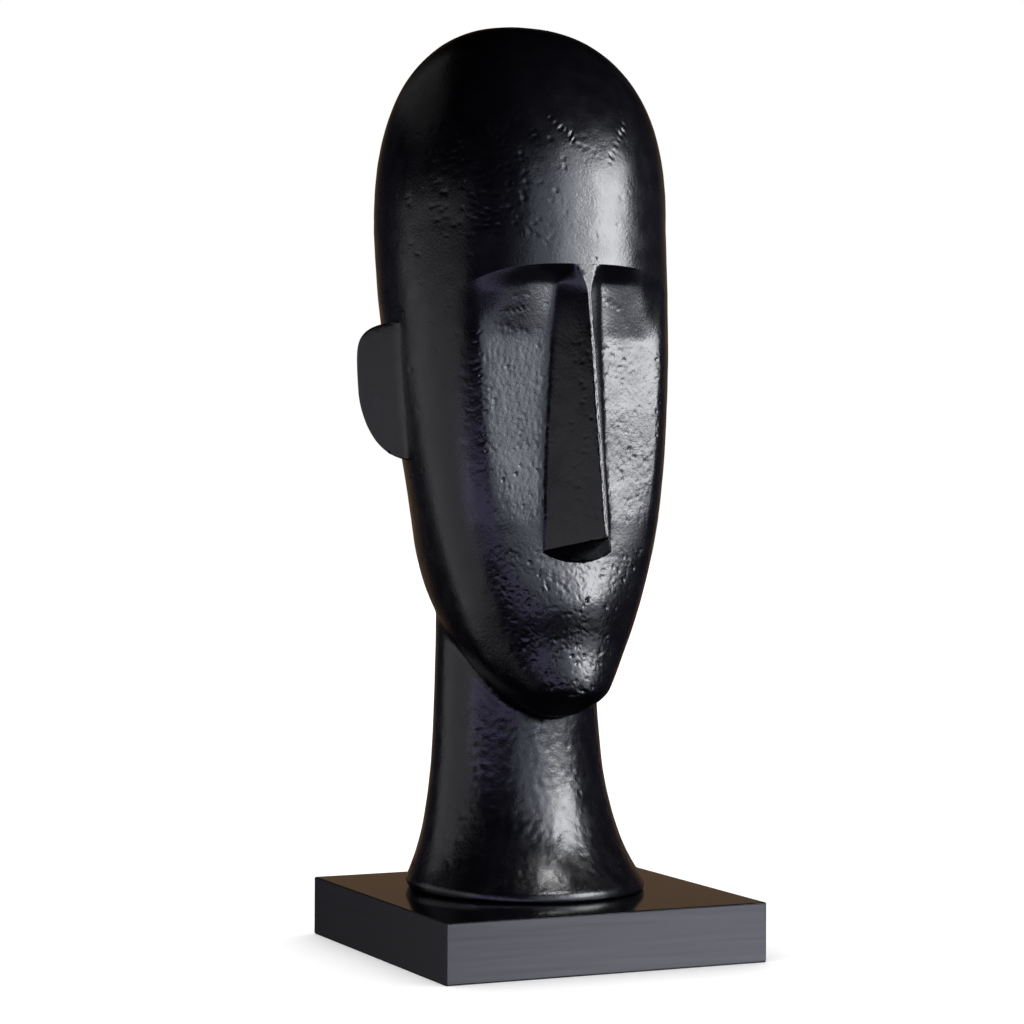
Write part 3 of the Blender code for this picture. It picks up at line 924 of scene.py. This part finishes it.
camera = bpy.data.objects.new("camera", bpy.data.cameras.new("camera"))
camera.data.lens = CAMERA_LENS
camera.data.sensor_width = CAMERA_SENSOR
ahead = Vector((
    sin(CAMERA_TURN) * cos(CAMERA_PITCH), cos(CAMERA_TURN) * cos(CAMERA_PITCH), sin(CAMERA_PITCH),
))
level_right = Vector((cos(CAMERA_TURN), -sin(CAMERA_TURN), 0.0))
level_up = level_right.cross(ahead)
right = level_right * cos(CAMERA_ROLL) + level_up * sin(CAMERA_ROLL)
above = level_up * cos(CAMERA_ROLL) - level_right * sin(CAMERA_ROLL)
camera_axes = Matrix((right, above, -ahead)).transposed().to_4x4()
camera.matrix_world = Matrix.Translation(CAMERA_PLACE) @ camera_axes
scene.collection.objects.link(camera)
scene.camera = camera


# Floor: a wide sheet of white paper that lies flat under the plinth and carries its soft
# shadow. It is lit on its own, and the object doesn't mirror it.

FLOOR_REACH = 6.0
PAPER_DARK, PAPER_LIGHT = "f4f4f4", "fafafa"
PAPER_ROUGHNESS = 0.9
PAPER_CLOUD = 0.2

floor_mesh = bpy.data.meshes.new("floor")
corners = [(FLOOR_REACH * x, FLOOR_REACH * y, 0.0) for x, y in ((-1, -1), (1, -1), (1, 1), (-1, 1))]
floor_mesh.from_pydata(corners, [], [(0, 1, 2, 3)])
floor = add_piece("floor", floor_mesh)
floor.visible_glossy = False
floor.visible_diffuse = False
floor.visible_shadow = False

# White paper: matt, and a little cloudy in its whiteness. The clouds are counted over the
# whole sheet, because the noise runs from edge to edge of it.
paper = new_material("white_paper_floor")
clouds = add_node(paper, "TexNoise", Scale=2 * FLOOR_REACH / PAPER_CLOUD)
shade = add_node(paper, "ValToRGB", links={"Fac": (clouds, "Fac")})
shade.color_ramp.elements[0].color = linear(PAPER_DARK)
shade.color_ramp.elements[1].color = linear(PAPER_LIGHT)
shader = add_node(
    paper, "BsdfPrincipled", links={"Base Color": (shade, "Color")}, Roughness=PAPER_ROUGHNESS,
)
add_node(paper, "OutputMaterial", links={"Surface": (shader, "BSDF")})
floor_mesh.materials.append(paper)


# Lights: upright soft boxes round the object, a lamp on its foot, and an even light from
# overhead for the floor. Each lights only the pieces of its own group.

def light_group(name, *pieces):
    group = bpy.data.collections.new(name)
    for piece in pieces:
        group.objects.link(piece)
    return group


lit_floor = light_group("lit_floor", floor)
lit_object = light_group("lit_object", head, plinth)
lit_head = light_group("lit_head", head)
lit_plinth = light_group("lit_plinth", plinth)

# Name, azimuth, distance, bottom, top, width, radiance, colour and the pieces that it lights.
# Azimuth 0 is in front of the face, and 90 on its left side.
SOFT_BOXES = [
    ("key_box", 39, 0.62, 0.285, 0.63, 0.30, 12.6, "ffffff", lit_head),
    ("key_spread", 33, 0.64, 0.22, 0.72, 0.60, 4.8, "e4e8f4", lit_head),
    ("key_low", 34, 0.62, 0.02, 0.17, 0.46, 2.2, "e4e8f4", lit_object),
    ("front_glow", -1, 0.80, 0.15, 0.66, 0.52, 1.95, "d0d8ec", lit_head),
    ("side_glow", -109, 0.85, -0.32, 0.475, 1.06, 0.64, "fafaff", lit_object),
    ("low_glow", -52, 0.80, 0.00, 0.20, 1.10, 1.60, "d0c8ff", lit_object),
    ("crown_glow", -150, 1.20, 0.85, 1.50, 1.20, 0.10, "fafaff", lit_object),
    ("plinth_glow", 25, 0.56, -0.14, -0.03, 0.50, 13.5, "f0f0ff", lit_plinth),
    ("foot_light", 27, 0.476, 1.03, 1.17, 0.33, 0.75, "ffffff", lit_object),
]
FOOT_LIGHT_AIM = Vector((0.069, -0.135, 0.040))
FOOT_LIGHT_SPREAD = radians(18)
OVERHEAD_SPREAD = radians(170)
OVERHEAD_STRENGTH = 4.3


def add_light(name, kind, lit):
    light = bpy.data.objects.new(name, bpy.data.lights.new(name, kind))
    light.light_linking.receiver_collection = lit
    scene.collection.objects.link(light)
    return light


def soft_box(name, azimuth, reach, low, high, width, radiance, colour, lit):
    light = add_light(name, "AREA", lit)
    light.data.shape = "RECTANGLE"
    light.data.size, light.data.size_y = width, high - low
    light.data.energy = pi * width * (high - low) * radiance
    light.data.color = linear(colour)[:3]
    a = radians(azimuth)
    away = Vector((sin(a), -cos(a), 0.0))
    light.location = away * reach + Vector((0.0, 0.0, (low + high) / 2))
    light.rotation_euler = away.to_track_quat("Z", "Y").to_euler()
    light.visible_camera = False
    return light


lights = {row[0]: soft_box(*row) for row in SOFT_BOXES}
foot_light = lights["foot_light"]
from_foot = foot_light.location - FOOT_LIGHT_AIM
foot_light.rotation_euler = from_foot.to_track_quat("Z", "Y").to_euler()
foot_light.data.spread = FOOT_LIGHT_SPREAD
overhead = add_light("floor_light", "SUN", lit_floor)
overhead.data.angle = OVERHEAD_SPREAD
overhead.data.energy = OVERHEAD_STRENGTH


# Room: white paper walls to the camera. The paint mirrors a dim room instead, greyer low
# down, brown behind the head and black above.

ROOM_GREY, ROOM_BROWN = "262634", "7c6550"
ROOM_BLACK_FROM = 0.42
ROOM_FULL_AT = 0.02
BROWN_WAY = (0.42, 0.91, 0.0)
BROWN_FROM, BROWN_FULL = 0.80, 0.96

room = bpy.data.worlds.new("studio_room")
scene.world = room
room.use_nodes = True
room.node_tree.nodes.clear()
way = add_node(room, "TexCoord")
split = add_node(room, "SeparateXYZ", links={"Vector": (way, "Generated")})
steep = add_node(room, "Math", {"operation": "ABSOLUTE"}, {"Value": (split, "Z")})
low_down = add_node(
    room, "MapRange", {"interpolation_type": "SMOOTHSTEP"}, {"Value": (steep, "Value")},
    From_Min=ROOM_BLACK_FROM, From_Max=ROOM_FULL_AT,
)
to_back = add_node(
    room, "VectorMath", {"operation": "DOT_PRODUCT"}, {"Vector": (way, "Generated")},
)
# Sockets that share one name are called by number
to_back.inputs[1].default_value = BROWN_WAY
behind = add_node(
    room, "MapRange", {"interpolation_type": "SMOOTHSTEP"}, {"Value": (to_back, "Value")},
    From_Min=BROWN_FROM, From_Max=BROWN_FULL,
)
walls = add_node(room, "ValToRGB", links={"Fac": (behind, "Result")})
walls.color_ramp.elements[0].color = linear(ROOM_GREY)
walls.color_ramp.elements[1].color = linear(ROOM_BROWN)
dim = add_node(
    room, "Background", links={"Color": (walls, "Color"), "Strength": (low_down, "Result")},
)
white = add_node(room, "Background", Color=(1.0, 1.0, 1.0, 1.0))
seen = add_node(room, "LightPath")
either = add_node(
    room, "MixShader",
    links={"Fac": (seen, "Is Camera Ray"), 1: (dim, "Background"), 2: (white, "Background")},
)
add_node(room, "OutputWorld", links={"Surface": (either, "Shader")})
# The tones of the photograph are plain sRGB
scene.view_settings.view_transform = "Standard"
